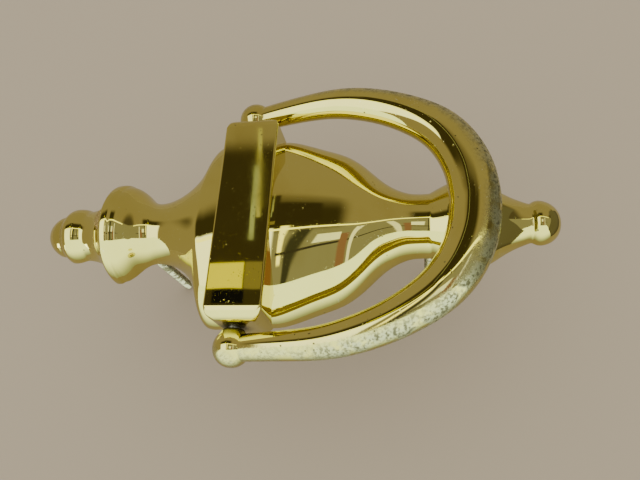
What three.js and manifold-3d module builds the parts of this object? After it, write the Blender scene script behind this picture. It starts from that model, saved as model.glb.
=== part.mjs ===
// Door knocker of the urn pattern, about 165 mm high. One brass casting, hollow at the back, carries
// a swinging bow handle on two pivot pins, and two threaded studs hold it to the door.
// Millimetres. X is across the door, +Z is up it, and the door's face is the plane Y = 0: the knocker
// stands out of it towards -Y. The origin is on the casting's flat back, at half its height.
import * as THREE from "three";
import { ParametricGeometry } from "three/addons/geometries/ParametricGeometry.js";
import { mergeVertices } from "three/addons/utils/BufferGeometryUtils.js";
import Module from "manifold-3d";

const wasm = await Module();
wasm.setup();

// Overall
const HALF_HEIGHT = 82.5; // the casting's two ball tips are this far above and below the origin
const FIT_GAP = 0.3; // between pieces that touch
const HEADROOM = 100; // more than the casting's size, for the cutter that flattens its back

// Hinge block and pivots
const BLOCK_HALF_WIDTH = 33;
const BLOCK_DEPTH = 16.8; // how far its face stands off the door
const BLOCK_TOP = 17.8;
const BLOCK_BOTTOM = 0.8;
const BLOCK_CORNER = 3; // radius of its four corners, seen from the front
const BLOCK_EDGE = 0.9; // rounding round its face
const PIVOT_DEPTH = 6.1; // the hinge axis, off the door
const PIVOT_HEIGHT = 11.6; // the hinge axis, above the origin
const PIN_RADIUS = 1.8;
const PIN_IN_BLOCK = 10;
const PIN_IN_KNOB = 7.5;

// Handle
const KNOB_RADIUS = 5.6;
const KNOB_SPACING = 38.9; // from the middle plane to each knob's centre
const COLLAR_RADIUS = 3.2; // the knob's neck, which faces the block's end
const COLLAR_GAP = 0.4;

// Casting's outline: half width across the door, depth off the door, height
const URN_TIP_RADIUS = 7.2;
const RIM_RADIUS = 16.9;
const NECK_RADIUS = 10.3;
const NECK_HEIGHT = 42;
const BALL_RADIUS = 6.9;
const WALL = 3;
const WEB_TOP = 21; // solid metal behind the block, from here
const WEB_BOTTOM = -4; // down to here
const STRIKE_DEPTH = 11.8; // the flat land that the bow strikes, off the door
const STRIKE_HEIGHT = -55.4;
const STRIKE_REACH = 8; // more than the land's size, for its cutter

// Mounting studs
const STUD_RADIUS = 1.75;
const STUD_REACH = 51; // past the casting's back
const STUD_IN_BOSS = 9;
const BOSS_RADIUS = 4.8;
const STUDS = [
  { name: "mounting_stud_upper", height: 54, bossLength: 14 },
  { name: "mounting_stud_lower", height: -45, bossLength: 8 },
];

const brass = new THREE.MeshStandardMaterial({ color: 0xb89a3c, roughness: 0.12, metalness: 1 });
const brassHandle = new THREE.MeshStandardMaterial({ color: 0xb2923a, roughness: 0.16, metalness: 1 });
const steel = new THREE.MeshStandardMaterial({ color: 0x8f8f8a, roughness: 0.4, metalness: 1 });
const zincSteel = new THREE.MeshStandardMaterial({ color: 0xa9a48c, roughness: 0.45, metalness: 1 });

// ---------------------------------------------------------------- solids and geometries

// A closed three.js geometry as a manifold solid, without the flat triangles at its poles.
function solidFrom(geometry) {
  const bare = geometry.clone();
  bare.deleteAttribute("normal");
  bare.deleteAttribute("uv");
  const welded = mergeVertices(bare, 1e-4);
  const corners = welded.index.array;
  const kept = [];
  for (let i = 0; i < corners.length; i += 3) {
    const [a, b, c] = [corners[i], corners[i + 1], corners[i + 2]];
    if (a !== b && b !== c && c !== a) kept.push(a, b, c);
  }
  return new wasm.Manifold(
    new wasm.Mesh({
      numProp: 3,
      vertProperties: new Float32Array(welded.attributes.position.array),
      triVerts: new Uint32Array(kept),
    }),
  );
}

function geometryFrom(solid) {
  const mesh = solid.getMesh();
  const geometry = new THREE.BufferGeometry();
  geometry.setAttribute("position", new THREE.BufferAttribute(mesh.vertProperties, 3));
  geometry.setIndex(new THREE.BufferAttribute(mesh.triVerts, 1));
  geometry.computeVertexNormals();
  return geometry;
}

// How deep the plate's crown is, as a share of its depth in the middle, at a share of its half width.
function crownDepth(across) {
  const pastFlat = across - CROWN_FLAT;
  const fall = (pastFlat + Math.hypot(pastFlat, CROWN_SOFTNESS)) / 2;
  return (1 - CROWN_SLOPE * fall) * Math.sqrt(Math.max(1 - across ** RIM_POWER, 0));
}

// A solid of cross sections stacked from the top down, with its two ends closed flat. Each station
// is [half width, depth, height, crown]: crown 0, the usual one, is an ellipse, and 1 is the
// plate's flat crown with straight sloping sides.
function stack(stations, rings, around) {
  const smooth = (points) => new THREE.CatmullRomCurve3(points, false, "centripetal");
  const size = smooth(stations.map(([width, depth, height]) => new THREE.Vector3(width, depth, height)));
  const crown = smooth(stations.map(([, , height, share = 0]) => new THREE.Vector3(share, 0, height)));
  const rows = rings + 2;
  const section = (u, v, target) => {
    const row = Math.round(v * rows);
    const t = THREE.MathUtils.clamp((row - 1) / rings, 0, 1);
    const { x: width, y: depth, z: height } = size.getPoint(t);
    const share = THREE.MathUtils.clamp(crown.getPoint(t).x, 0, 1);
    const open = row === 0 || row === rows ? 0 : 1;
    const angle = -u * 2 * Math.PI; // clockwise from above, so that the faces point out
    const across = Math.cos(angle);
    const out = THREE.MathUtils.lerp(Math.abs(Math.sin(angle)), crownDepth(Math.abs(across)), share);
    target.set(open * width * across, open * depth * out * Math.sign(Math.sin(angle)), height);
  };
  return solidFrom(new ParametricGeometry(section, around, rows));
}

function cylinderAlongY(radius, length, sides) {
  return new THREE.CylinderGeometry(radius, radius, length, sides);
}

function cylinderAlongX(radius, length, sides) {
  return new THREE.CylinderGeometry(radius, radius, length, sides).rotateZ(Math.PI / 2);
}

// ---------------------------------------------------------------- body casting

// Urn finial, bell and neck: a turned shape, of which the casting is the front half.
function urn() {
  const tip = new THREE.Path();
  tip.absarc(0, HALF_HEIGHT - URN_TIP_RADIUS, URN_TIP_RADIUS, Math.PI / 2, 0, true);
  const ring = new THREE.SplineCurve([
    new THREE.Vector2(7.6, 75),
    new THREE.Vector2(9.5, 71.4),
    new THREE.Vector2(8.7, 67.2),
  ]);
  const cone = new THREE.SplineCurve([
    new THREE.Vector2(8.9, 65.6),
    new THREE.Vector2(10.2, 61.6),
    new THREE.Vector2(12.8, 58.2),
    new THREE.Vector2(RIM_RADIUS - 0.8, 55.9),
  ]);
  const bell = new THREE.SplineCurve([
    new THREE.Vector2(RIM_RADIUS, 54.9),
    new THREE.Vector2(RIM_RADIUS, 53.1),
    new THREE.Vector2(16.1, 50.7),
    new THREE.Vector2(14.2, 48.4),
    new THREE.Vector2(12.1, 46.4),
    new THREE.Vector2(10.8, 44.4),
    new THREE.Vector2(NECK_RADIUS, NECK_HEIGHT),
    new THREE.Vector2(NECK_RADIUS + 0.2, NECK_HEIGHT - 3),
  ]);
  const profile = [
    ...tip.getPoints(5),
    ...ring.getPoints(5),
    ...cone.getPoints(5),
    ...bell.getPoints(16),
    new THREE.Vector2(0, NECK_HEIGHT - 3),
  ];
  profile[0].x = 0;
  return solidFrom(new THREE.LatheGeometry(profile.reverse(), 40).rotateX(Math.PI / 2));
}

const SHOULDER = [
  [NECK_RADIUS, NECK_RADIUS, NECK_HEIGHT],
  [10.8, 10.9, 37.8],
  [12.8, 12, 33.6],
  [16, 12.9, 30],
  [20.2, 13.5, 27.2],
  [24.6, 13.9, 25.7],
  [28.2, 14.2, 24.5],
  [30.8, 14.4, 23],
  [BLOCK_HALF_WIDTH - 1, 14.7, 20.6],
  [BLOCK_HALF_WIDTH - 1, 15, 16],
  [BLOCK_HALF_WIDTH - 1.5, 15, 10],
];

const PLATE = [
  [BLOCK_HALF_WIDTH - 2.5, 15.4, 9, 1],
  [31.8, 16.3, 1, 1],
  [30.3, 16.1, -5.5, 1],
  [27.8, 15.7, -12, 1],
  [25, 14.9, -19.5, 1],
  [21.2, 13.7, -24.8, 0.95],
  [17.2, 12.6, -28.8, 0.85],
  [13.7, 11.5, -32.6, 0.6],
  [11.2, 10.5, -37, 0.3],
  [10.3, 9.9, -40.6, 0.1],
  [10.3, 9.8, -44.6],
  [10.6, 10, -45.6],
  [12.5, 11.4, -49],
  [13.9, 12.5, -52.4],
  [14.4, 12.9, -55.4],
  [13.9, 12.5, -58.6],
  [12.2, 11.2, -62.3],
  [9.8, 9.2, -65.8],
  [7.9, 7.5, -69.2],
  [6.7, 6.5, -72],
  [6.2, 6, -73.6],
];
// What a crown of 1 is, in shares of the half width and of the depth: how far it stays flat, how
// fast its sides fall after that, how softly it turns, and how late the rim turns to the door.
const CROWN_FLAT = 0.28;
const CROWN_SLOPE = 0.75;
const CROWN_SOFTNESS = 0.08;
const RIM_POWER = 12;

// The two pockets in the back follow the outside, one wall thickness in.
const UPPER_POCKET = [
  [4, 4, 62],
  [9.4, 9.2, 57.4],
  [13.2, 12.6, 53],
  [11.2, 10.8, 48.6],
  [7.6, 7.6, 44.6],
  [NECK_RADIUS - WALL, NECK_RADIUS - WALL, NECK_HEIGHT - 2],
  [9.8, 9, 33.7],
  [14, 10, 29.4],
  [20, 10.6, 25.6],
  [22, 10.8, WEB_TOP],
];

const LOWER_POCKET = [
  [25.6, 12.4, WEB_BOTTOM, 1],
  ...PLATE.slice(3, 16).map(([width, depth, height, crown]) => [width - WALL, depth - WALL, height, crown]),
  [6.8, 6.2, -65],
  [4, 3.6, -68.5],
];

function hingeBlock() {
  const face = new THREE.Shape();
  const right = BLOCK_HALF_WIDTH - BLOCK_EDGE;
  const top = BLOCK_TOP - BLOCK_EDGE;
  const bottom = BLOCK_BOTTOM + BLOCK_EDGE;
  const corner = BLOCK_CORNER - BLOCK_EDGE;
  face.moveTo(-right + corner, bottom);
  face.lineTo(right - corner, bottom);
  face.absarc(right - corner, bottom + corner, corner, -Math.PI / 2, 0, false);
  face.absarc(right - corner, top - corner, corner, 0, Math.PI / 2, false);
  face.absarc(-right + corner, top - corner, corner, Math.PI / 2, Math.PI, false);
  face.absarc(-right + corner, bottom + corner, corner, Math.PI, Math.PI * 1.5, false);
  const block = new THREE.ExtrudeGeometry(face, {
    depth: BLOCK_DEPTH,
    bevelEnabled: true,
    bevelSize: BLOCK_EDGE,
    bevelThickness: BLOCK_EDGE,
    bevelSegments: 3,
    curveSegments: 5,
  });
  // Extruded along +Z: stand it up so that the extrusion runs from the door towards -Y.
  return solidFrom(block.rotateX(Math.PI / 2).translate(0, BLOCK_EDGE, 0));
}

// What is cut off the crown of the lower bulge, to leave the flat land that the bow strikes.
function strikeCutter() {
  const cutter = new THREE.BoxGeometry(2 * STRIKE_REACH, STRIKE_REACH, 2 * STRIKE_REACH);
  return solidFrom(cutter.translate(0, -STRIKE_DEPTH - STRIKE_REACH / 2, STRIKE_HEIGHT));
}

function bodyCasting() {
  const ball = new THREE.SphereGeometry(BALL_RADIUS, 28, 18);
  ball.translate(0, 0, -HALF_HEIGHT + BALL_RADIUS);
  let casting = urn()
    .add(stack(SHOULDER, 20, 48))
    .add(hingeBlock())
    .add(stack(PLATE, 42, 48))
    .subtract(strikeCutter())
    .add(solidFrom(ball))
    .subtract(stack(UPPER_POCKET, 14, 28))
    .subtract(stack(LOWER_POCKET, 20, 32));

  for (const { height, bossLength } of STUDS) {
    const boss = cylinderAlongY(BOSS_RADIUS, bossLength, 28).translate(0, -bossLength / 2, height);
    casting = casting.add(solidFrom(boss));
  }

  const behind = new THREE.BoxGeometry(2 * HEADROOM, HEADROOM, 3 * HEADROOM);
  casting = casting.subtract(solidFrom(behind.translate(0, HEADROOM / 2, 0)));

  for (const { height } of STUDS) {
    const hole = cylinderAlongY(STUD_RADIUS + FIT_GAP, 2 * (STUD_IN_BOSS + FIT_GAP), 20);
    casting = casting.subtract(solidFrom(hole.translate(0, 0, height)));
  }
  for (const side of [-1, 1]) {
    const bore = cylinderAlongX(PIN_RADIUS + FIT_GAP, 2 * (PIN_IN_BLOCK + FIT_GAP), 20);
    bore.translate(side * BLOCK_HALF_WIDTH, -PIVOT_DEPTH, PIVOT_HEIGHT);
    casting = casting.subtract(solidFrom(bore));
  }
  return geometryFrom(casting);
}

// ---------------------------------------------------------------- handle

// Right half of the bow: centre line, then half thicknesses across and through the bow.
const BOW = [
  { centre: [KNOB_SPACING, -PIVOT_DEPTH, PIVOT_HEIGHT], across: 3.9, through: 3.8 },
  { centre: [39, -9.5, -0.8], across: 4.15, through: 4 },
  { centre: [38.8, -12.2, -13], across: 4.6, through: 4.4 },
  { centre: [37.3, -13.9, -22.5], across: 5.1, through: 4.8 },
  { centre: [34.1, -15.2, -32.2], across: 5.5, through: 5 },
  { centre: [29.6, -16.2, -40.9], across: 6, through: 5.2 },
  { centre: [24.4, -17, -47.7], across: 6.5, through: 5.4 },
  { centre: [17.8, -17.4, -52.7], across: 6.8, through: 5.5 },
  { centre: [9.2, -17.6, -56.1], across: 7, through: 5.6 },
  { centre: [0, -17.7, -57.2], across: 7, through: 5.6 },
];

function bowGeometry(rings, around) {
  const mirrored = BOW.slice(0, -1).map(({ centre: [x, y, z], ...rest }) => ({ centre: [-x, y, z], ...rest }));
  const whole = [...BOW, ...mirrored.reverse()];
  const line = new THREE.CatmullRomCurve3(whole.map(({ centre }) => new THREE.Vector3(...centre)));
  const girth = new THREE.CatmullRomCurve3(
    whole.map(({ across, through: deep }) => new THREE.Vector3(across, deep, 0)),
  );
  const rows = rings + 2;
  const outwards = new THREE.Vector3(0, -1, 0);
  const section = (u, v, target) => {
    const row = Math.round(v * rows);
    const t = THREE.MathUtils.clamp((row - 1) / rings, 0, 1);
    line.getPoint(t, target);
    if (row === 0 || row === rows) return;
    const along = line.getTangent(t);
    const sideways = new THREE.Vector3().crossVectors(outwards, along).normalize();
    const upright = new THREE.Vector3().crossVectors(along, sideways);
    const size = girth.getPoint(t);
    const angle = u * 2 * Math.PI;
    target.addScaledVector(sideways, size.x * Math.cos(angle));
    target.addScaledVector(upright, size.y * Math.sin(angle));
  };
  return new ParametricGeometry(section, around, rows);
}

function handleGeometry() {
  let handle = solidFrom(bowGeometry(72, 20));
  const collarFace = BLOCK_HALF_WIDTH + COLLAR_GAP;
  const collarLength = KNOB_SPACING - collarFace;
  for (const side of [-1, 1]) {
    const knob = new THREE.SphereGeometry(KNOB_RADIUS, 28, 18);
    knob.translate(side * KNOB_SPACING, -PIVOT_DEPTH, PIVOT_HEIGHT);
    const collar = cylinderAlongX(COLLAR_RADIUS, collarLength, 28);
    collar.translate(side * (collarFace + collarLength / 2), -PIVOT_DEPTH, PIVOT_HEIGHT);
    handle = handle.add(solidFrom(knob)).add(solidFrom(collar));
  }
  for (const side of [-1, 1]) {
    const bore = cylinderAlongX(PIN_RADIUS + FIT_GAP, 2 * (PIN_IN_KNOB + FIT_GAP), 20);
    bore.translate(side * collarFace, -PIVOT_DEPTH, PIVOT_HEIGHT);
    handle = handle.subtract(solidFrom(bore));
  }
  return geometryFrom(handle);
}

// ---------------------------------------------------------------- pins and studs

const group = new THREE.Group();

function place(name, geometry, material) {
  const mesh = new THREE.Mesh(geometry, material);
  mesh.name = name;
  group.add(mesh);
  return mesh;
}

place("body_casting", bodyCasting(), brass);
place("handle", handleGeometry(), brassHandle);

const pinInner = BLOCK_HALF_WIDTH - PIN_IN_BLOCK;
const pinOuter = BLOCK_HALF_WIDTH + COLLAR_GAP + PIN_IN_KNOB;
for (const [name, side] of [["pivot_pin_left", -1], ["pivot_pin_right", 1]]) {
  const pin = place(name, cylinderAlongX(PIN_RADIUS, pinOuter - pinInner, 20), steel.clone());
  pin.position.set((side * (pinInner + pinOuter)) / 2, -PIVOT_DEPTH, PIVOT_HEIGHT);
}

const studLength = STUD_IN_BOSS + STUD_REACH;
for (const { name, height } of STUDS) {
  const stud = place(name, cylinderAlongY(STUD_RADIUS, studLength, 20), zincSteel.clone());
  stud.position.set(0, studLength / 2 - STUD_IN_BOSS, height);
}

export default group;
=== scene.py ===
import math

import bmesh
import bpy
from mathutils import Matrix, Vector


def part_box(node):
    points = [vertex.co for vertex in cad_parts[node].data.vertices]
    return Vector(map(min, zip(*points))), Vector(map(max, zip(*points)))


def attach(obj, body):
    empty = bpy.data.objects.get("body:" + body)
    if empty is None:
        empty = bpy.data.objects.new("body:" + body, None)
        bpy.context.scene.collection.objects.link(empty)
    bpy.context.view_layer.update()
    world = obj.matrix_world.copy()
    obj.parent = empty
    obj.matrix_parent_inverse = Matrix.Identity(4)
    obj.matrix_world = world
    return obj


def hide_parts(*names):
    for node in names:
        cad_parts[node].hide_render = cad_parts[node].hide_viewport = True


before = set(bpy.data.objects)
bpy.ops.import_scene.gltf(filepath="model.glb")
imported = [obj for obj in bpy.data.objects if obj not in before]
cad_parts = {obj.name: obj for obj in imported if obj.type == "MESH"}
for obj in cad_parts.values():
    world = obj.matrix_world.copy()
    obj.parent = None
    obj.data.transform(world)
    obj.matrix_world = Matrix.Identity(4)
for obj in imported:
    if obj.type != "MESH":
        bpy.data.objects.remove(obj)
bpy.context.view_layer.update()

# ---- Camera
# It looks at the front of the knocker from the left and from below, rolled so that the door's
# left-right direction is upright and the urn finial points to the left.
CAMERA_PLACE = (-71.61, -156.06, -42.23)
CAMERA_TURN = (-171.707, 79.562, 74.781)
CAMERA_LENS = 31.09
SENSOR_WIDTH = 36
CAMERA_NEAREST = 0.005
MM = 0.001

camera_data = bpy.data.cameras.new("camera")
camera_data.lens = CAMERA_LENS
camera_data.sensor_width = SENSOR_WIDTH
camera_data.clip_start = CAMERA_NEAREST
camera = bpy.data.objects.new("camera", camera_data)
camera.location = Vector(CAMERA_PLACE) * MM
camera.rotation_euler = [math.radians(angle) for angle in CAMERA_TURN]
bpy.context.scene.collection.objects.link(camera)
bpy.context.scene.camera = camera

# ---- Floor
# The board that the knocker lies on, face up, resting on the tips of its two studs. It is plain
# and pale, and it hides nothing from behind, as its back lets all light through. In the metal's
# reflections it shows a darker copy of its colour, which is painted shade.
FLOOR_SIZE = 3.0
FLOOR_GAP = 0.5
FLOOR_ROUGHNESS = 0.9
FLOOR_SHINE = 0.1
FLOOR_COLOUR = (0.55, 0.46, 0.33, 1)
# Painted shade: the darker floor colour that only the metal's reflections show.
FLOOR_SHADE_IN_MIRROR = (0.40, 0.335, 0.22, 1)

stud_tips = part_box("mounting_stud_upper")[1].y


def new_material(name):
    """An empty node material, with its tree and its output."""
    material = bpy.data.materials.new(name)
    material.use_nodes = True
    nodes = material.node_tree.nodes
    nodes.clear()
    return material, material.node_tree, nodes.new("ShaderNodeOutputMaterial")


bpy.ops.object.select_all(action="DESELECT")
bpy.ops.mesh.primitive_plane_add(
    size=FLOOR_SIZE,
    location=(0, stud_tips + FLOOR_GAP * MM, 0),
    rotation=(math.pi / 2, 0, 0),
)
floor = bpy.context.object
floor.name = "floor"

floor_material, tree, output = new_material("floor_paper")
board = tree.nodes.new("ShaderNodeBsdfPrincipled")
# Glossy rays get the darker copy of the floor colour: painted shade in the reflections.
mirror_shade = tree.nodes.new("ShaderNodeMix")
mirror_shade.data_type = "RGBA"
mirror_shade.inputs[6].default_value = FLOOR_COLOUR
mirror_shade.inputs[7].default_value = FLOOR_SHADE_IN_MIRROR
ray = tree.nodes.new("ShaderNodeLightPath")
tree.links.new(ray.outputs["Is Glossy Ray"], mirror_shade.inputs[0])
tree.links.new(mirror_shade.outputs[2], board.inputs["Base Color"])
board.inputs["Roughness"].default_value = FLOOR_ROUGHNESS
board.inputs["Specular IOR Level"].default_value = FLOOR_SHINE
clear = tree.nodes.new("ShaderNodeBsdfTransparent")
side = tree.nodes.new("ShaderNodeNewGeometry")
choose = tree.nodes.new("ShaderNodeMixShader")
tree.links.new(side.outputs["Backfacing"], choose.inputs["Fac"])
tree.links.new(board.outputs["BSDF"], choose.inputs[1])
tree.links.new(clear.outputs["BSDF"], choose.inputs[2])
tree.links.new(choose.outputs["Shader"], output.inputs["Surface"])
floor.data.materials.append(floor_material)

# ---- Light
# Soft light comes from all round. What the polished metal mirrors is a room of plain panels, given
# by their direction: the angle from straight in front towards the door's right, and the height
# above or below it. All are far away, apart from two cards that stand beside the knocker.
SOFT_LIGHT = (0.98, 0.97, 0.94)
WALL_COLOUR = (0.37, 0.315, 0.21)
# Name, azimuth from and to, elevation from and to, softness in degrees, and colour.
ROUND_PANELS = [
    ("near wall", -180, -150, -90, 90, 8, (1.2, 1.2, 1.1)),
    ("dark foot of the room", -180, 180, -90, -52, 10, (0.11, 0.095, 0.065)),
    ("room below", -64, 14, -90, 17, 4, (0.36, 0.35, 0.29)),
    ("dark front", 17, 25, -6, 42, 13, (0.055, 0.045, 0.020)),
    ("window", -170, -64, -50, 56, 5, (5.6, 6.1, 5.3)),
    ("low window", -134, -60, -60, -24, 4, (5.6, 6.1, 5.3)),
    ("window bar", -92, -90, -60, 56, 0.6, (0.3, 0.3, 0.25)),
    ("ceiling", -70, 13.5, 17, 47, 2.5, (2.5, 2.65, 2.4)),
    ("lamp", -20, 15.5, 8, 10, 1.4, (2.6, 2.5, 1.0)),
    ("lit edge", 11.2, 13.2, -48, 44, 0.7, (2.7, 2.7, 1.0)),
    ("shelf", -40, 8, 2, 4.5, 1.6, (0.07, 0.07, 0.055)),
    ("cupboard", -52, -30, -12, -3, 0.6, (0.09, 0.09, 0.07)),
    ("door frame", -17, -15.6, -40, 12, 0.4, (0.06, 0.055, 0.05)),
    ("red books", -38, -6, -21, -15, 2.2, (0.36, 0.20, 0.16)),
    ("white board", -13, -2, -14, -2, 0.8, (1.6, 1.7, 1.5)),
    ("counter", -50, 6, -27, -24.5, 0.7, (1.5, 1.55, 1.4)),
]
# The same, for what the flat face of the block shows: how far across and how far up for each
# step away from the door, and how much each panel climbs across.
FRONT_PANELS = [
    ("dark doorway", 0.40, 0.65, 0.27, 0.47, 0.05, 0, (0.055, 0.044, 0.022)),
    ("doorway foot", 0.36, 0.54, 0.02, 0.26, 0.04, 0, (0.050, 0.040, 0.020)),
    ("yellow shade", 0.337, 0.390, 0.352, 0.45, 0.004, 0, (1.25, 1.16, 0.0)),
    ("olive curtain", 0.337, 0.390, 0.29, 0.345, 0.005, 0, (0.30, 0.26, 0.10)),
    ("dark frame", 0.306, 0.330, 0.348, 0.412, 0.003, 0, (0.008, 0.008, 0.012)),
    ("tube one", 0.493, 0.720, 0.327, 0.3355, 0.0015, 0.079, (0.62, 0.60, 0.26)),
    ("tube two", 0.443, 0.620, 0.338, 0.3475, 0.0015, 0.023, (0.52, 0.60, 0.40)),
]
# Name, nearest and farthest corner in millimetres, and brightness at their edge in front and at
# their foot. They show only in the metal.
CARDS = [
    ("pale_card", (-95, -150, -200), (-95, 48, 200), (2.1, 2.4, 1.95), (0.46, 0.52, 0.40)),
    ("dark_card", (-200, -70, -185), (90, 48, -185), (0.16, 0.15, 0.12), (0.10, 0.09, 0.07)),
]
# Shares of a card's depth, from its middle towards the door, between which its foot grows dim.
CARD_FADE = (0.1, 0.5)
CARD_THICKNESS = 1
BACKDROP_COLOUR = (0.72, 0.70, 0.67)
# The front panels are on directions at least this far out from the door.
LEAST_FORWARD = 0.1

world = bpy.data.worlds.new("soft_room")
world.use_nodes = True
bpy.context.scene.world = world
tree = world.node_tree
tree.nodes.clear()


def math_node(operation, *values, clamp=False):
    """A Math node in the current tree. A value is a number or a socket."""
    node = tree.nodes.new("ShaderNodeMath")
    node.operation = operation
    node.use_clamp = clamp
    for socket, value in zip(node.inputs, values):
        if isinstance(value, bpy.types.NodeSocket):
            tree.links.new(value, socket)
        else:
            socket.default_value = value
    return node.outputs[0]


def smooth_step(value, low, high):
    """0 below low, 1 above high, and a smooth rise between them."""
    node = tree.nodes.new("ShaderNodeMapRange")
    node.interpolation_type = "SMOOTHSTEP"
    tree.links.new(value, node.inputs["Value"])
    node.inputs["From Min"].default_value = low
    node.inputs["From Max"].default_value = high
    return node.outputs["Result"]


def mix_colour(share, first, second):
    """A mix of two colours. A colour is three or four numbers or a socket."""
    node = tree.nodes.new("ShaderNodeMix")
    node.data_type = "RGBA"
    for socket, value in ((node.inputs[0], share), (node.inputs[6], first), (node.inputs[7], second)):
        if isinstance(value, bpy.types.NodeSocket):
            tree.links.new(value, socket)
        elif socket == node.inputs[0]:
            socket.default_value = value
        else:
            socket.default_value = (*value[:3], 1)
    return node.outputs[2]


direction = tree.nodes.new("ShaderNodeTexCoord")
split = tree.nodes.new("ShaderNodeSeparateXYZ")
tree.links.new(direction.outputs["Generated"], split.inputs[0])
toward_viewer = math_node("MULTIPLY", split.outputs["Y"], -1)
azimuth = math_node("ARCTAN2", split.outputs["X"], toward_viewer)
azimuth = math_node("MULTIPLY", azimuth, 180 / math.pi)
elevation = math_node("ARCSINE", split.outputs["Z"])
elevation = math_node("MULTIPLY", elevation, 180 / math.pi)


def between(value, low, high, softness):
    """1 between two numbers, falling to 0 over the softness outside them."""
    rise = smooth_step(value, low - softness, low)
    fall = smooth_step(value, high, high + softness)
    return math_node("MULTIPLY", rise, math_node("SUBTRACT", 1, fall))


in_front = math_node("GREATER_THAN", toward_viewer, LEAST_FORWARD)
safe_depth = math_node("MAXIMUM", toward_viewer, LEAST_FORWARD)
across = math_node("DIVIDE", split.outputs["X"], safe_depth)
up = math_node("DIVIDE", split.outputs["Z"], safe_depth)

light_colour = WALL_COLOUR
for _, left, right, bottom, top, softness, colour in ROUND_PANELS:
    share = math_node(
        "MULTIPLY",
        between(azimuth, left, right, softness),
        between(elevation, bottom, top, softness),
    )
    light_colour = mix_colour(share, light_colour, colour)
for _, left, right, bottom, top, softness, climb, colour in FRONT_PANELS:
    level = math_node("SUBTRACT", up, math_node("MULTIPLY", math_node("SUBTRACT", across, left), climb))
    share = math_node(
        "MULTIPLY",
        between(across, left, right, softness),
        between(level, bottom, top, softness),
    )
    share = math_node("MULTIPLY", share, in_front)
    light_colour = mix_colour(share, light_colour, colour)

room = tree.nodes.new("ShaderNodeBackground")
tree.links.new(light_colour, room.inputs["Color"])
soft = tree.nodes.new("ShaderNodeBackground")
soft.inputs["Color"].default_value = (*SOFT_LIGHT, 1)
backdrop = tree.nodes.new("ShaderNodeBackground")
backdrop.inputs["Color"].default_value = (*BACKDROP_COLOUR, 1)
ray = tree.nodes.new("ShaderNodeLightPath")
mirrored = tree.nodes.new("ShaderNodeMixShader")
tree.links.new(ray.outputs["Is Glossy Ray"], mirrored.inputs["Fac"])
tree.links.new(soft.outputs["Background"], mirrored.inputs[1])
tree.links.new(room.outputs["Background"], mirrored.inputs[2])
seen = tree.nodes.new("ShaderNodeMixShader")
tree.links.new(ray.outputs["Is Camera Ray"], seen.inputs["Fac"])
tree.links.new(mirrored.outputs["Shader"], seen.inputs[1])
tree.links.new(backdrop.outputs["Background"], seen.inputs[2])
output = tree.nodes.new("ShaderNodeOutputWorld")
tree.links.new(seen.outputs["Shader"], output.inputs["Surface"])

for name, near, far, brightness, foot_brightness in CARDS:
    middle = (Vector(near) + Vector(far)) / 2 * MM
    bpy.ops.object.select_all(action="DESELECT")
    bpy.ops.mesh.primitive_cube_add(size=1, location=middle)
    card = bpy.context.object
    card.name = name
    card.scale = [max(abs(b - a), CARD_THICKNESS) * MM for a, b in zip(near, far)]
    card.visible_camera = False
    card.visible_diffuse = False
    card.visible_shadow = False
    card_material, tree, output = new_material(name)
    glow = tree.nodes.new("ShaderNodeEmission")
    place = tree.nodes.new("ShaderNodeTexCoord")
    split = tree.nodes.new("ShaderNodeSeparateXYZ")
    tree.links.new(place.outputs["Object"], split.inputs[0])
    share = smooth_step(split.outputs["Y"], *CARD_FADE)
    tree.links.new(mix_colour(share, brightness, foot_brightness), glow.inputs["Color"])
    tree.links.new(glow.outputs["Emission"], output.inputs["Surface"])
    card.data.materials.append(card_material)

# ---- Cast backplate
# One brass casting, polished and lacquered on the front and left rough inside: a turned urn
# finial, the shoulder, the hinge block, the tapered plate with the place that the handle
# strikes, and the ball at the foot. Its back is hollow and ends flat on the door.
RING_AROUND = 48
WALL = 3.0
BLOCK_HALF_WIDTH = 33.0
BLOCK_DEPTH = 16.8
BLOCK_BOTTOM = 0.8
BLOCK_TOP = 17.8
BLOCK_END_ROUND = 3.6
BLOCK_EDGE_ROUND = 0.7
BLOCK_ROUND_STEPS = 8
BLOCK_PAST_DOOR = 6
PIVOT_DEPTH = 6.1
PIVOT_HEIGHT = 11.6

# Half width, depth off the door and height, from the tip down. A fourth number is how far the
# section goes from an ellipse, 0, to the plate's flat crown with straight sloping sides, 1.
FINIAL_AND_SHOULDER = [
    (0.8, 0.8, 82.4),
    (3.2, 3.2, 81.7),
    (5.3, 5.3, 80.1),
    (6.8, 6.8, 77.9),
    (7.3, 7.3, 76),
    (7.5, 7.5, 75.1),
    (8.2, 8.2, 74.4),
    (9.3, 9.3, 73),
    (9.6, 9.6, 71.2),
    (9.3, 9.3, 69.2),
    (8.7, 8.7, 67.4),
    (8.75, 8.75, 66),
    (9.3, 9.3, 63.5),
    (10.4, 10.4, 61),
    (12.4, 12.4, 58.5),
    (14.8, 14.8, 56.6),
    (16.3, 16.3, 55.8),
    (16.95, 16.95, 55.1),
    (17.0, 17.0, 54),
    (16.9, 16.9, 53),
    (16.3, 16.3, 52.2),
    (16.0, 16.0, 50.9),
    (14.4, 14.4, 48.6),
    (12.2, 12.2, 46.4),
    (10.9, 10.9, 44.4),
    (10.3, 10.3, 42),
    (10.8, 10.9, 37.8),
    (12.8, 12, 33.6),
    (16, 12.9, 30),
    (20.2, 13.5, 27.2),
    (24.8, 13.9, 25.5),
    (28.4, 14.2, 24.5),
    (31, 14.4, 23),
    (32.1, 14.7, 20.6),
    (32, 15, 16),
    (31.5, 15, 10),
]
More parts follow.
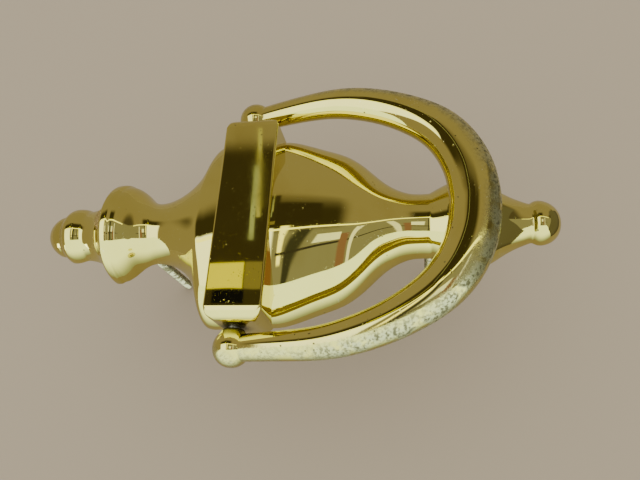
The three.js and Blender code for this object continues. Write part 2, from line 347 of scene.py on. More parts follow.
PLATE_AND_FOOT = [
    (30.5, 15.4, 9, 1),
    (31.8, 16.3, 1, 1),
    (30.3, 16.1, -5.5, 1),
    (27.8, 15.7, -12, 1),
    (25, 14.9, -19.5, 1),
    (21.2, 13.7, -24.8, 0.95),
    (17.2, 12.6, -28.8, 0.85),
    (13.7, 11.5, -32.6, 0.6),
    (11.2, 10.5, -37, 0.3),
    (10.3, 9.9, -40.6, 0.1),
    (10.3, 9.8, -44.6, 0),
    (10.6, 10, -45.6, 0),
    (12.5, 11.4, -49, 0),
    (13.9, 12.5, -52.4, 0),
    (14.4, 12.9, -55.4, 0),
    (13.9, 12.5, -58.6, 0.3),
    (12.2, 11.2, -62.3, 0.75),
    (9.8, 9.2, -65.8, 0.85),
    (7.9, 7.5, -69.2, 0.75),
    (6.7, 6.5, -72, 0.5),
    (6.1, 6, -73.6, 0),
    (6.2, 6.1, -74.2, 0),
    (6.8, 6.8, -75.3, 0),
    (6.9, 6.9, -77, 0),
    (6.1, 6.1, -79.2, 0),
    (4.6, 4.6, -81, 0),
    (2.7, 2.7, -82.1, 0),
    (0.8, 0.8, -82.5, 0),
]
UPPER_HOLLOW = [
    (4, 4, 62),
    (9.5, 9.5, 56),
    (12.6, 12.6, 52),
    (8.6, 8.6, 46.4),
    (7.1, 7.1, 42),
    (7.7, 7.8, 37.8),
    (9.6, 8.9, 33.6),
    (12.8, 9.8, 30),
    (17, 10.3, 27.2),
    (22, 10.8, 24),
    (22, 10.8, 21),
]
HOLLOW_TOP = (25.6, 12.4, -4, 1)
HOLLOW_BOTTOM = [
    (6.8, 6.2, -65, 0),
    (4, 3.6, -68.5, 0),
]
# Shares of the half width and of the depth: how far the crown stays flat, how fast its sides
# fall after that, and how softly it turns. The rim turns to the door in the last of the width.
CROWN_FLAT = 0.28
CROWN_SLOPE = 0.75
CROWN_SOFTNESS = 0.08
RIM_POWER = 12
STRIKE_DEPTH = 11.8
STRIKE_HEIGHT = -55.4
STRIKE_REACH = 8.0
DOOR_CUTTER = (60, 60, 100)
BOSS_RADIUS = 4.8
BOSS_DEPTHS = {"mounting_stud_upper": 14.0, "mounting_stud_lower": 8.0}
BRASS = (0.77, 0.69, 0.20)
BRASS_DEEP = (0.63, 0.52, 0.11)
SCRATCH = (0.93, 0.90, 0.62)
# Dark colour of pits, wear flecks and stains, also used for the painted shade in the hinge gap.
GRIME_AND_SHADE = (0.055, 0.040, 0.016)
RAW_BRASS = (0.46, 0.33, 0.14)
WORN_BRASS = (0.46, 0.48, 0.34)
# How far from the pin the painted shade in the hinge gap reaches.
JOINT_SHADE_REACH = 5.0
COAT_WEIGHT = 0.35
COAT_ROUGHNESS = 0.04
POLISH_ROUGHNESS = 0.02
SCRATCH_ROUGHNESS = 0.22
SCUFF_ROUGHNESS = 0.30
SCUFF_TINT = 0.75
WAVE_HEIGHT = 0.014
MARK_HEIGHT = 0.04
RAW_GRAIN_HEIGHT = 0.12
RAW_ROUGHNESS = 0.42
HAIRLINE_TURNS = ((0.3, 0.2, 0.5), (1.1, -0.7, 2.2), (-0.6, 1.3, 1.2))
HAIRLINE_SCALE = 1500
PIT_SCALE = 700


def smooth_through(stations, steps):
    """More stations on a smooth curve through the given ones."""
    points = [Vector(station) for station in stations]
    points = [2 * points[0] - points[1], *points, 2 * points[-1] - points[-2]]
    curve = []
    for before, start, end, after in zip(points, points[1:], points[2:], points[3:]):
        for step in range(steps):
            t = step / steps
            curve.append(
                0.5
                * (
                    2 * start
                    + (end - before) * t
                    + (2 * before - 5 * start + 4 * end - after) * t * t
                    + (3 * start - before - 3 * end + after) * t**3
                )
            )
    return [tuple(point) for point in [*curve, points[-2]]]


def apply_modifier(piece, kind, **settings):
    """Adds a modifier to a piece and applies it."""
    bpy.ops.object.select_all(action="DESELECT")
    piece.select_set(True)
    bpy.context.view_layer.objects.active = piece
    modifier = piece.modifiers.new(kind.lower(), kind)
    for name, value in settings.items():
        setattr(modifier, name, value)
    bpy.ops.object.modifier_apply(modifier=modifier.name)


def pull_up_rings(name, stations, around=RING_AROUND, smoothing=1):
    """A closed skin on elliptical rings: a filled circle, pulled from each ring to the next."""
    rings = [(*station, 0)[:4] for station in stations]
    bpy.ops.object.select_all(action="DESELECT")
    bpy.ops.mesh.primitive_circle_add(vertices=around, radius=1, fill_type="NGON")
    piece = bpy.context.object
    piece.name = name
    bpy.ops.object.mode_set(mode="EDIT")
    bpy.ops.mesh.select_all(action="SELECT")
    width, depth, height, crown = 1 / MM, 1 / MM, 0, 0
    for ring in rings:
        if ring is not rings[0]:
            bpy.ops.mesh.extrude_region_move()
        centre = (0, 0, height * MM)
        ratio = (ring[0] / width, ring[1] / depth, 1)
        bpy.ops.transform.resize(value=ratio, center_override=centre)
        bpy.ops.transform.translate(value=(0, 0, (ring[2] - height) * MM))
        if crown or ring[3]:
            shape_crown(piece, ring)
        width, depth, height, crown = ring
    bpy.ops.mesh.select_all(action="SELECT")
    bpy.ops.mesh.normals_make_consistent(inside=False)
    bpy.ops.object.mode_set(mode="OBJECT")
    if smoothing:
        apply_modifier(piece, "SUBSURF", levels=smoothing, render_levels=smoothing)
    return piece


def shape_crown(piece, ring):
    """Sets how far out each chosen point of a ring stands, for the crown that the ring has."""
    width, depth, _, crown = ring
    mesh = bmesh.from_edit_mesh(piece.data)
    for vert in mesh.verts:
        if vert.select:
            share = min(abs(vert.co.x) / (width * MM), 1)
            past_flat = share - CROWN_FLAT
            fall = (past_flat + math.hypot(past_flat, CROWN_SOFTNESS)) / 2
            crowned = (1 - CROWN_SLOPE * fall) * math.sqrt(1 - share**RIM_POWER)
            reach = (1 - crown) * math.sqrt(1 - share**2) + crown * crowned
            vert.co.y = math.copysign(depth * MM * reach, vert.co.y)
    bmesh.update_edit_mesh(piece.data)


def combine(piece, other, operation):
    """Adds the other mesh to a piece, or cuts it out, and takes the other away."""
    apply_modifier(
        piece,
        "BOOLEAN",
        object=other,
        operation=operation,
        solver="EXACT",
        material_mode="TRANSFER",
    )
    bpy.data.objects.remove(other)


def round_bar(name, radius, start, end, axis, around=32, chamfer=0.0):
    """A round bar along an axis, from a filled circle pulled out, with its ends chamfered."""
    turn = {"X": (0, math.pi / 2, 0), "Y": (-math.pi / 2, 0, 0)}[axis]
    along = {"X": Vector((1, 0, 0)), "Y": Vector((0, 1, 0))}[axis]
    bpy.ops.object.select_all(action="DESELECT")
    bpy.ops.mesh.primitive_circle_add(
        vertices=around, radius=radius - chamfer, fill_type="NGON", location=start, rotation=turn
    )
    piece = bpy.context.object
    piece.name = name
    bpy.ops.object.transform_apply(location=True, rotation=True, scale=True)
    bpy.ops.object.mode_set(mode="EDIT")
    bpy.ops.mesh.select_all(action="SELECT")
    length = (Vector(end) - Vector(start)).length
    centre = Vector(start)
    steps = [(chamfer, radius / (radius - chamfer)), (length - 2 * chamfer, 1)]
    steps.append((chamfer, (radius - chamfer) / radius))
    for distance, ratio in steps:
        if distance > 0:
            centre = centre + along * distance
            bpy.ops.mesh.extrude_region_move(TRANSFORM_OT_translate={"value": along * distance})
            bpy.ops.transform.resize(value=(ratio, ratio, ratio), center_override=centre)
    bpy.ops.mesh.select_all(action="SELECT")
    bpy.ops.mesh.normals_make_consistent(inside=False)
    bpy.ops.object.mode_set(mode="OBJECT")
    return piece


def box_between(name, low, high):
    """A box from one corner to the other, in millimetres."""
    bpy.ops.object.select_all(action="DESELECT")
    middle = (Vector(low) + Vector(high)) / 2 * MM
    bpy.ops.mesh.primitive_cube_add(size=1, location=middle)
    piece = bpy.context.object
    piece.name = name
    piece.scale = (Vector(high) - Vector(low)) * MM
    bpy.ops.object.transform_apply(location=True, rotation=True, scale=True)
    return piece


def hinge_block():
    """The block: a box with round ends, small rounds on its long edges, and a back past the door."""
    piece = box_between(
        "hinge_block",
        (-BLOCK_HALF_WIDTH, -BLOCK_DEPTH, BLOCK_BOTTOM),
        (BLOCK_HALF_WIDTH, BLOCK_PAST_DOOR, BLOCK_TOP),
    )
    weights = piece.data.attributes.new("bevel_weight_edge", "FLOAT", "EDGE")
    for edge in piece.data.edges:
        a, b = (piece.data.vertices[index].co for index in edge.vertices)
        middle = (a + b) / 2
        at_end = abs(middle.x) > (BLOCK_HALF_WIDTH - 0.1) * MM
        in_front = middle.y < -(BLOCK_DEPTH - 0.1) * MM
        if at_end and (in_front or abs(a.y - b.y) > MM):
            weights.data[edge.index].value = 1
        elif in_front:
            weights.data[edge.index].value = BLOCK_EDGE_ROUND / BLOCK_END_ROUND
    apply_modifier(
        piece,
        "BEVEL",
        width=BLOCK_END_ROUND * MM,
        segments=BLOCK_ROUND_STEPS,
        limit_method="WEIGHT",
    )
    return piece


def noise_node(vector, scale, detail=2.0, distortion=0.0):
    """The value of a Noise texture on a vector."""
    node = tree.nodes.new("ShaderNodeTexNoise")
    tree.links.new(vector, node.inputs["Vector"])
    node.inputs["Scale"].default_value = scale
    node.inputs["Detail"].default_value = detail
    node.inputs["Distortion"].default_value = distortion
    return node.outputs["Fac"]


def voronoi_node(vector, scale):
    """A Voronoi texture on a vector."""
    node = tree.nodes.new("ShaderNodeTexVoronoi")
    tree.links.new(vector, node.inputs["Vector"])
    node.inputs["Scale"].default_value = scale
    return node


def mapped(vector, turn, scale):
    """A vector, turned and then stretched."""
    node = tree.nodes.new("ShaderNodeMapping")
    tree.links.new(vector, node.inputs["Vector"])
    node.inputs["Rotation"].default_value = turn
    node.inputs["Scale"].default_value = scale
    return node.outputs["Vector"]


def new_group(name, inputs, outputs):
    """An empty shader node group with float sockets, and its two end nodes."""
    group = bpy.data.node_groups.new(name, "ShaderNodeTree")
    for socket in inputs:
        kind = "NodeSocketVector" if socket == "Place" else "NodeSocketFloat"
        group.interface.new_socket(name=socket, in_out="INPUT", socket_type=kind)
    for socket in outputs:
        group.interface.new_socket(name=socket, in_out="OUTPUT", socket_type="NodeSocketFloat")
    return group, group.nodes.new("NodeGroupInput"), group.nodes.new("NodeGroupOutput")


def painted_shade_round_joint(place):
    """Painted shade on the surfaces that face each other where a pin leaves the block: 0 to 1."""
    split = tree.nodes.new("ShaderNodeSeparateXYZ")
    tree.links.new(place, split.inputs[0])
    out_from_middle = math_node("ABSOLUTE", split.outputs["X"])
    in_gap = between(
        out_from_middle, (BLOCK_HALF_WIDTH - 0.2) * MM, (BLOCK_HALF_WIDTH + 1) * MM, 0.6 * MM
    )
    off_axis = math_node("ADD", split.outputs["Y"], PIVOT_DEPTH * MM)
    above_axis = math_node("SUBTRACT", split.outputs["Z"], PIVOT_HEIGHT * MM)
    squared = math_node("MULTIPLY", off_axis, off_axis)
    squared = math_node("MULTIPLY_ADD", above_axis, above_axis, squared)
    distance = math_node("SQRT", squared)
    far = smooth_step(distance, 0.6 * JOINT_SHADE_REACH * MM, 1.4 * JOINT_SHADE_REACH * MM)
    return math_node("MULTIPLY", in_gap, math_node("SUBTRACT", 1, far))


# Hairlines from wiping, small casting pits, tarnish, and painted shade in the gap round the hinge,
# which all polished pieces have. These go from 0 to 1, and the heights are shares of the bump that a
# material gives.
MARK_OUTPUTS = ["Pits", "Scratches", "Height", "Waves", "Tarnish", "Joint shade"]
polish_marks_and_joint_shade, group_in, group_out = new_group(
    "polish_marks_and_joint_shade", ["Place", "Pitting", "Scratching"], MARK_OUTPUTS
)
tree = polish_marks_and_joint_shade
place = group_in.outputs["Place"]
hairlines = []
for turn in HAIRLINE_TURNS:
    streaks = noise_node(mapped(place, turn, (1, 0.02, 1)), HAIRLINE_SCALE, 1)
    line = smooth_step(streaks, 0.70, 0.80)
    where = smooth_step(noise_node(mapped(place, turn, (1, 0.5, 1)), 110, 3), 0.47, 0.62)
    hairlines.append(math_node("MULTIPLY", line, where))
scratches = math_node("MAXIMUM", hairlines[0], math_node("MAXIMUM", hairlines[1], hairlines[2]))
scratches = math_node("MULTIPLY", scratches, group_in.outputs["Scratching"])
specks = voronoi_node(place, PIT_SCALE)
speck = math_node("SUBTRACT", 1, smooth_step(specks.outputs["Distance"], 0.10, 0.24))
lot = tree.nodes.new("ShaderNodeSeparateColor")
tree.links.new(specks.outputs["Color"], lot.inputs[0])
clusters = smooth_step(noise_node(place, 95, 2), 0.45, 0.7)
chance = math_node("MULTIPLY", clusters, group_in.outputs["Pitting"])
chosen = math_node("LESS_THAN", lot.outputs[0], chance)
pits = math_node("MULTIPLY", speck, chosen)
waves = noise_node(place, 70, 1)
height = math_node("SUBTRACT", 1, pits)
height = math_node("SUBTRACT", height, math_node("MULTIPLY", scratches, 0.15))
tarnish = smooth_step(noise_node(place, 45, 4, 0.5), 0.42, 0.75)
# Painted shade in the gap between the block's ends and the balls.
joint_shade = painted_shade_round_joint(place)
mark_values = (pits, scratches, height, waves, tarnish, joint_shade)
for name, value in zip(MARK_OUTPUTS, mark_values):
    tree.links.new(value, group_out.inputs[name])


def polished_brass(name, pitting, scratching, wear_attribute=None):
    """Lacquered brass, polished to a mirror, with pits, hairlines, painted shade in the hinge gap and,
    where worn, dull scuffs.
    """
    global tree
    material, tree, output = new_material(name)
    place = tree.nodes.new("ShaderNodeTexCoord").outputs["Object"]
    marks = tree.nodes.new("ShaderNodeGroup")
    marks.node_tree = polish_marks_and_joint_shade
    tree.links.new(place, marks.inputs["Place"])
    marks.inputs["Pitting"].default_value = pitting
    marks.inputs["Scratching"].default_value = scratching
    tarnish = marks.outputs["Tarnish"]
    colour = mix_colour(math_node("MULTIPLY", tarnish, 0.5), BRASS, BRASS_DEEP)
    colour = mix_colour(math_node("MULTIPLY", marks.outputs["Scratches"], 0.5), colour, SCRATCH)
    # Pits and wear flecks are real dark marks; the joint part is painted shade between block and ball.
    grime_and_shade = math_node("MAXIMUM", marks.outputs["Pits"], marks.outputs["Joint shade"])
    roughness = math_node("MULTIPLY_ADD", tarnish, 0.05, POLISH_ROUGHNESS)
    scratched = marks.outputs["Scratches"]
    roughness = math_node("MULTIPLY_ADD", scratched, SCRATCH_ROUGHNESS, roughness)
    height = marks.outputs["Height"]
    if wear_attribute:
        worn = tree.nodes.new("ShaderNodeAttribute")
        worn.attribute_name = wear_attribute
        patchy = smooth_step(noise_node(place, 230, 5, 0.4), 0.30, 0.55)
        scuffed = math_node("MULTIPLY", worn.outputs["Fac"], patchy)
        flecks = smooth_step(noise_node(place, 1150, 4), 0.42, 0.62)
        fleck = math_node("MULTIPLY", scuffed, flecks)
        colour = mix_colour(math_node("MULTIPLY", scuffed, SCUFF_TINT), colour, WORN_BRASS)
        roughness = math_node("MULTIPLY_ADD", scuffed, SCUFF_ROUGHNESS, roughness)
        grime_and_shade = math_node("MAXIMUM", grime_and_shade, math_node("MULTIPLY", fleck, 0.85))
        height = math_node("SUBTRACT", height, math_node("MULTIPLY", fleck, 0.5))
    colour = mix_colour(math_node("MULTIPLY", grime_and_shade, 0.9), colour, GRIME_AND_SHADE)
    roughness = math_node("MULTIPLY_ADD", grime_and_shade, 0.4, roughness, clamp=True)
    wave = tree.nodes.new("ShaderNodeBump")
    wave.inputs["Strength"].default_value = 1
    wave.inputs["Distance"].default_value = WAVE_HEIGHT * MM
    tree.links.new(marks.outputs["Waves"], wave.inputs["Height"])
    bump = tree.nodes.new("ShaderNodeBump")
    bump.inputs["Strength"].default_value = 0.8
    bump.inputs["Distance"].default_value = MARK_HEIGHT * MM
    tree.links.new(height, bump.inputs["Height"])
    tree.links.new(wave.outputs["Normal"], bump.inputs["Normal"])
    brass = tree.nodes.new("ShaderNodeBsdfPrincipled")
    brass.inputs["Metallic"].default_value = 1
    brass.inputs["Coat Weight"].default_value = COAT_WEIGHT
    brass.inputs["Coat Roughness"].default_value = COAT_ROUGHNESS
    tree.links.new(colour, brass.inputs["Base Color"])
    tree.links.new(roughness, brass.inputs["Roughness"])
    tree.links.new(bump.outputs["Normal"], brass.inputs["Normal"])
    tree.links.new(brass.outputs["BSDF"], output.inputs["Surface"])
    return material


def raw_brass(name):
    """Brass as it left the mould: dull, grainy and stained, under a thin film of lacquer."""
    global tree
    material, tree, output = new_material(name)
    place = tree.nodes.new("ShaderNodeTexCoord").outputs["Object"]
    grain = noise_node(place, 1300, 4)
    stain = smooth_step(noise_node(place, 120, 4, 1.0), 0.4, 0.65)
    colour = mix_colour(math_node("MULTIPLY", stain, 0.55), RAW_BRASS, GRIME_AND_SHADE)
    bump = tree.nodes.new("ShaderNodeBump")
    bump.inputs["Strength"].default_value = 0.9
    bump.inputs["Distance"].default_value = RAW_GRAIN_HEIGHT * MM
    tree.links.new(grain, bump.inputs["Height"])
    brass = tree.nodes.new("ShaderNodeBsdfPrincipled")
    brass.inputs["Metallic"].default_value = 1
    tree.links.new(colour, brass.inputs["Base Color"])
    rough = math_node("MULTIPLY_ADD", stain, 0.2, RAW_ROUGHNESS)
    tree.links.new(rough, brass.inputs["Roughness"])
    tree.links.new(bump.outputs["Normal"], brass.inputs["Normal"])
    tree.links.new(brass.outputs["BSDF"], output.inputs["Surface"])
    return material


def finish_piece(piece, name, body, node, smooth_angle=32):
    """Names a piece, shades it, gives it its body, and hides the CAD node that it stands for."""
    piece.name = name
    piece.data.name = name
    bpy.ops.object.select_all(action="DESELECT")
    piece.select_set(True)
    bpy.context.view_layer.objects.active = piece
    bpy.ops.object.shade_smooth_by_angle(angle=math.radians(smooth_angle))
    apply_modifier(piece, "WEIGHTED_NORMAL", weight=100, keep_sharp=True)
    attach(piece, body)
    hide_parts(node)


casting_brass = polished_brass("casting_brass", pitting=0.16, scratching=0.8)
raw_casting = raw_brass("raw_casting")

backplate = hinge_block()
backplate.data.materials.append(casting_brass)
finial = pull_up_rings("finial", smooth_through(FINIAL_AND_SHOULDER, 2))
plate = pull_up_rings("plate", smooth_through(PLATE_AND_FOOT, 2))
for part in (finial, plate):
    part.data.materials.append(casting_brass)
combine(
    plate,
    box_between(
        "strike_cutter",
        (-STRIKE_REACH, -STRIKE_DEPTH - STRIKE_REACH, STRIKE_HEIGHT - STRIKE_REACH),
        (STRIKE_REACH, -STRIKE_DEPTH, STRIKE_HEIGHT + STRIKE_REACH),
    ),
    "DIFFERENCE",
)
combine(backplate, finial, "UNION")
combine(backplate, plate, "UNION")

behind_door = box_between("behind_door", (-DOOR_CUTTER[0], 0, -DOOR_CUTTER[2]), DOOR_CUTTER)
behind_door.data.materials.append(raw_casting)
combine(backplate, behind_door, "DIFFERENCE")

hollow = [
    (width - WALL, depth - WALL, height, crown)
    for width, depth, height, crown in PLATE_AND_FOOT[3:16]
]
cutters = [
    pull_up_rings("upper_hollow", smooth_through(UPPER_HOLLOW, 2)),
    pull_up_rings(
        "lower_hollow",
        smooth_through([HOLLOW_TOP, *hollow, *HOLLOW_BOTTOM], 2),
    ),
]
for cutter in cutters:
    cutter.data.materials.append(raw_casting)
    combine(backplate, cutter, "DIFFERENCE")

for node, depth in BOSS_DEPTHS.items():
    low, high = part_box(node)
    height = (low.z + high.z) / 2
    boss = round_bar(
        "stud_boss", BOSS_RADIUS * MM, (0, -depth * MM, height), (0, -0.02 * MM, height), "Y", 40
    )
    boss.data.materials.append(raw_casting)
    combine(backplate, boss, "UNION")
    bore = round_bar(
        "stud_bore",
        (high.z - low.z) / 2 + 0.02 * MM,
        (0, low.y - 0.1 * MM, height),
        (0, MM, height),
        "Y",
    )
    bore.data.materials.append(raw_casting)
    combine(backplate, bore, "DIFFERENCE")

for node in ("pivot_pin_left", "pivot_pin_right"):
    low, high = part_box(node)
    bore = round_bar(
        "pin_bore",
        (high.z - low.z) / 2 + 0.15 * MM,
        (low.x - 0.2 * MM, -PIVOT_DEPTH * MM, PIVOT_HEIGHT * MM),
        (high.x + 0.2 * MM, -PIVOT_DEPTH * MM, PIVOT_HEIGHT * MM),
        "X",
    )
    bore.data.materials.append(raw_casting)
    combine(backplate, bore, "DIFFERENCE")

finish_piece(backplate, "cast_backplate", "casting", "body_casting")

# ---- Handle
# The knocker's handle, one brass casting: a bow that hangs in front of the plate, thicker at
# its foot, with a ball at the top of each arm. Each ball has a short collar towards the block
# and a blind bore for its pivot pin. The outer rim is scuffed from use.
# Centre across, off the door and up; half thickness across the bow and through it.
BOW = [
    (0, -17.7, -57.2, 7.0, 5.6),
    (9.2, -17.6, -56.1, 7.0, 5.6),
    (17.8, -17.4, -52.7, 6.8, 5.5),
    (24.4, -17.0, -47.7, 6.5, 5.4),
    (29.6, -16.2, -40.9, 6.0, 5.2),
    (34.1, -15.2, -32.2, 5.5, 5.0),
    (37.3, -13.9, -22.5, 5.1, 4.8),
    (38.8, -12.2, -13, 4.6, 4.4),
    (39, -9.5, -0.8, 4.15, 4.0),
    (38.9, -6.1, 11.6, 3.9, 3.8),
]
BOW_AROUND = 28
KNOB_RADIUS = 5.6
KNOB_SPACING = 38.9
COLLAR_RADIUS = 3.2
COLLAR_GAP = 0.4
KNOB_STEPS = 16
# The rim is worn full at the bow's foot, less from WEAR_TOP down over WEAR_FADE millimetres, and
# most on the left arm. It starts where a face turns this far away from the middle of the bow.
BOW_MIDDLE = (0, -14, -14)
WEAR_TOP = 8
WEAR_FADE = 30
LEAST_WEAR_LEFT = 0.5
LEAST_WEAR_RIGHT = 0.3
WEAR_START = 0.15
WEAR_SPAN = 0.45


def turn_chosen(angle, axis, centre):
    """Turns what is chosen in edit mode by the right-hand rule."""
    bpy.ops.transform.rotate(value=-angle, orient_axis=axis, center_override=centre)


def bow_and_arms():
    """Half of the bow, from its middle up to a knob, pulled ring by ring, and then mirrored."""
    stations = smooth_through(BOW, 3)
    bpy.ops.object.select_all(action="DESELECT")
    bpy.ops.mesh.primitive_circle_add(
        vertices=BOW_AROUND, radius=MM, fill_type="NOTHING", rotation=(0, math.pi / 2, 0)
    )
    piece = bpy.context.object
    bpy.ops.object.transform_apply(location=True, rotation=True, scale=True)
    bpy.ops.object.mode_set(mode="EDIT")
    bpy.ops.mesh.select_all(action="SELECT")
    centre, across, through, lean = Vector((0, 0, 0)), 1, 1, 0
    for index, (x, y, z, new_across, new_through) in enumerate(stations):
        if index:
            bpy.ops.mesh.extrude_region_move()
        following = stations[min(index + 1, len(stations) - 1)]
        leading = stations[max(index - 1, 0)]
        new_lean = math.atan2(following[2] - leading[2], following[0] - leading[0])
        if index == 0:
            new_lean = 0
        new_centre = Vector((x, y, z)) * MM
        turn_chosen(lean, "Y", centre)
        bpy.ops.transform.resize(
            value=(1, new_through / through, new_across / across), center_override=centre
        )
        bpy.ops.transform.translate(value=new_centre - centre)
        turn_chosen(-new_lean, "Y", new_centre)
        centre, across, through, lean = new_centre, new_across, new_through, new_lean
    bpy.ops.mesh.edge_face_add()
    bpy.ops.mesh.select_all(action="SELECT")
    bpy.ops.mesh.normals_make_consistent(inside=False)
    bpy.ops.object.mode_set(mode="OBJECT")
    apply_modifier(
        piece, "MIRROR", use_axis=(True, False, False), merge_threshold=0.01 * MM, use_clip=True
    )
    apply_modifier(piece, "SUBSURF", levels=1, render_levels=1)
    return piece


def knob(side):
    """A ball with its collar, turned about the pivot line. The side is -1 or 1."""
    collar_end = BLOCK_HALF_WIDTH + COLLAR_GAP - KNOB_SPACING
    rings = []
    for step in range(1, KNOB_STEPS - 2):
        angle = math.pi * step / KNOB_STEPS
        rings.append((KNOB_RADIUS * math.sin(angle), KNOB_RADIUS * math.cos(angle)))
    rings = [(radius, height) for radius, height in rings if radius > COLLAR_RADIUS or height > 0]
    rings += [(COLLAR_RADIUS, collar_end + 0.3), (COLLAR_RADIUS - 0.2, collar_end)]
    piece = pull_up_rings("knob", [(radius, radius, height) for radius, height in rings], 32, 0)
    bpy.ops.object.mode_set(mode="EDIT")
    bpy.ops.mesh.select_all(action="SELECT")
    turn_chosen(side * math.pi / 2, "Y", (0, 0, 0))
    bpy.ops.transform.translate(
        value=(side * KNOB_SPACING * MM, -PIVOT_DEPTH * MM, PIVOT_HEIGHT * MM)
    )
    bpy.ops.object.mode_set(mode="OBJECT")
    apply_modifier(piece, "SUBSURF", levels=1, render_levels=1)
    return piece


handle_brass = polished_brass(
    "handle_brass", pitting=0.3, scratching=1.0, wear_attribute="rim_wear"
)
handle = bow_and_arms()
handle.data.materials.append(handle_brass)
for side, node in ((-1, "pivot_pin_left"), (1, "pivot_pin_right")):
    ball = knob(side)
    ball.data.materials.append(handle_brass)
    combine(handle, ball, "UNION")
    low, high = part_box(node)
    bore = round_bar(
        "pin_bore",
        (high.z - low.z) / 2 + 0.02 * MM,
        (low.x - 0.1 * MM, -PIVOT_DEPTH * MM, PIVOT_HEIGHT * MM),
        (high.x + 0.1 * MM, -PIVOT_DEPTH * MM, PIVOT_HEIGHT * MM),
        "X",
    )
    bore.data.materials.append(handle_brass)
    combine(handle, bore, "DIFFERENCE")

# The rim wear is strongest on the faces that look away from the middle of the bow.
rim_wear = handle.data.attributes.new("rim_wear", "FLOAT", "POINT")
for vert in handle.data.vertices:
    outward = vert.co - Vector(BOW_MIDDLE) * MM
    outward.y = 0
    outward.normalize()
    facing = vert.normal.dot(outward)
    least = LEAST_WEAR_RIGHT if vert.co.x > 0 else LEAST_WEAR_LEFT
    low_down = min(max((WEAR_TOP * MM - vert.co.z) / (WEAR_FADE * MM), least), 1)
    rim_wear.data[vert.index].value = min(max((facing - WEAR_START) / WEAR_SPAN, 0), 1) * low_down
finish_piece(handle, "knocker_handle", "bow", "handle")

# ---- Pivot pins
# Two plain steel pins, one driven into each ball of the handle. They turn in the bores at the
# ends of the hinge block and can be seen only in the gap between the collar and the block.
PIN_STEEL = (0.56, 0.55, 0.52)
PIN_STAIN = (0.16, 0.13, 0.10)
PIN_CHAMFER = 0.4

# Marks of drawing or rolling along a wire, with dull stains. Stains go from 0 to 1.
drawn_wire, group_in, group_out = new_group("drawn_wire", ["Place", "Staining"], ["Stains", "Height"])
tree = drawn_wire
blotches = smooth_step(noise_node(group_in.outputs["Place"], 420, 4, 0.6), 0.42, 0.62)
stains = math_node("MULTIPLY", blotches, group_in.outputs["Staining"])
tree.links.new(stains, group_out.inputs["Stains"])
tree.links.new(noise_node(group_in.outputs["Place"], 2400, 3), group_out.inputs["Height"])


def wire_steel(name, metal, stain_colour, staining, roughness):
    """Steel wire with a thin plating, stained in blotches."""
    global tree
    material, tree, output = new_material(name)
    place = tree.nodes.new("ShaderNodeTexCoord").outputs["Object"]
    marks = tree.nodes.new("ShaderNodeGroup")
    marks.node_tree = drawn_wire
    tree.links.new(place, marks.inputs["Place"])
    marks.inputs["Staining"].default_value = staining
    bump = tree.nodes.new("ShaderNodeBump")
    bump.inputs["Strength"].default_value = 0.5
    bump.inputs["Distance"].default_value = 0.03 * MM
    tree.links.new(marks.outputs["Height"], bump.inputs["Height"])
    steel = tree.nodes.new("ShaderNodeBsdfPrincipled")
    steel.inputs["Metallic"].default_value = 1
    colour = mix_colour(marks.outputs["Stains"], metal, stain_colour)
    tree.links.new(colour, steel.inputs["Base Color"])
    rough = math_node("MULTIPLY_ADD", marks.outputs["Stains"], 0.3, roughness)
    tree.links.new(rough, steel.inputs["Roughness"])
    tree.links.new(bump.outputs["Normal"], steel.inputs["Normal"])
    tree.links.new(steel.outputs["BSDF"], output.inputs["Surface"])
    return material


pin_steel = wire_steel("pin_steel", PIN_STEEL, PIN_STAIN, staining=0.5, roughness=0.3)
for node, name in (("pivot_pin_left", "hinge_pin_left"), ("pivot_pin_right", "hinge_pin_right")):
    low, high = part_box(node)
    pin = round_bar(
        name,
        (high.z - low.z) / 2,
        (low.x, -PIVOT_DEPTH * MM, PIVOT_HEIGHT * MM),
        (high.x, -PIVOT_DEPTH * MM, PIVOT_HEIGHT * MM),
        "X",
        around=40,
        chamfer=PIN_CHAMFER * MM,
    )
    pin.data.materials.append(pin_steel)
    finish_piece(pin, name, "bow", node)

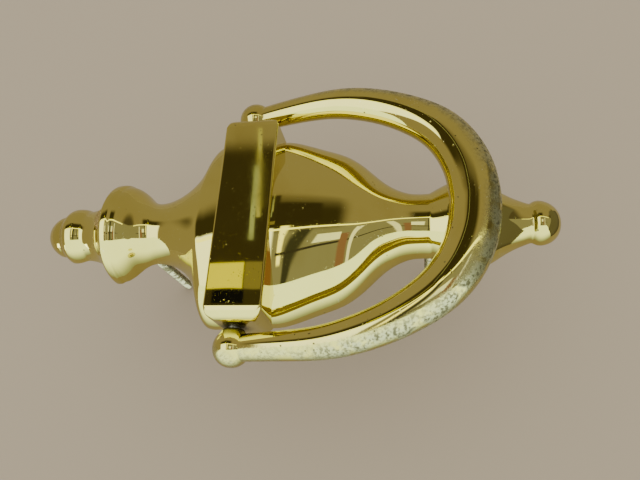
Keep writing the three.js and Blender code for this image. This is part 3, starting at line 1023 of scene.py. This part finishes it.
# ---- Mounting studs
# Two lengths of threaded rod, screwed into bosses in the back of the casting. They go through
# the door and take a nut inside. They are plated steel, gone dull and mottled.
STUD_METAL = (0.66, 0.64, 0.44)
STUD_STAIN = (0.24, 0.22, 0.13)
THREAD_PITCH = 0.79
THREAD_DEPTH = 0.42
THREAD_AROUND = 20


def threaded_rod(name, low, high):
    """One turn of thread, screwed up the whole rod, and cut flat at both ends."""
    radius = (high.z - low.z) / 2
    height = (low.z + high.z) / 2
    turns = math.ceil((high.y - low.y) / (THREAD_PITCH * MM)) + 2
    crest, root, pitch = radius, radius - THREAD_DEPTH * MM, THREAD_PITCH * MM
    profile = [(crest, 0), (crest, 0.12), (root, 0.48), (root, 0.64), (crest, 1)]
    mesh = bpy.data.meshes.new(name)
    points = [(reach, low.y - pitch + share * pitch, 0) for reach, share in profile]
    mesh.from_pydata(points, [(i, i + 1) for i in range(len(points) - 1)], [])
    piece = bpy.data.objects.new(name, mesh)
    bpy.context.scene.collection.objects.link(piece)
    apply_modifier(
        piece,
        "SCREW",
        axis="Y",
        screw_offset=pitch,
        iterations=turns,
        steps=THREAD_AROUND,
        render_steps=THREAD_AROUND,
        use_merge_vertices=True,
        merge_threshold=0.002 * MM,
    )
    bpy.ops.object.mode_set(mode="EDIT")
    bpy.ops.mesh.select_all(action="SELECT")
    bpy.ops.mesh.remove_doubles(threshold=0.002 * MM)
    bpy.ops.transform.translate(value=(0, 0, height))
    for place, outward in ((low.y, -1), (high.y, 1)):
        bpy.ops.mesh.select_all(action="SELECT")
        bpy.ops.mesh.bisect(
            plane_co=(0, place, 0), plane_no=(0, outward, 0), use_fill=True, clear_outer=True
        )
    bpy.ops.mesh.select_all(action="SELECT")
    bpy.ops.mesh.normals_make_consistent(inside=False)
    bpy.ops.object.mode_set(mode="OBJECT")
    return piece


stud_steel = wire_steel("stud_steel", STUD_METAL, STUD_STAIN, staining=0.9, roughness=0.26)
for node, name in (
    ("mounting_stud_upper", "threaded_stud_upper"),
    ("mounting_stud_lower", "threaded_stud_lower"),
):
    stud = threaded_rod(name, *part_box(node))
    stud.data.materials.append(stud_steel)
    finish_piece(stud, name, "casting", node, smooth_angle=25)
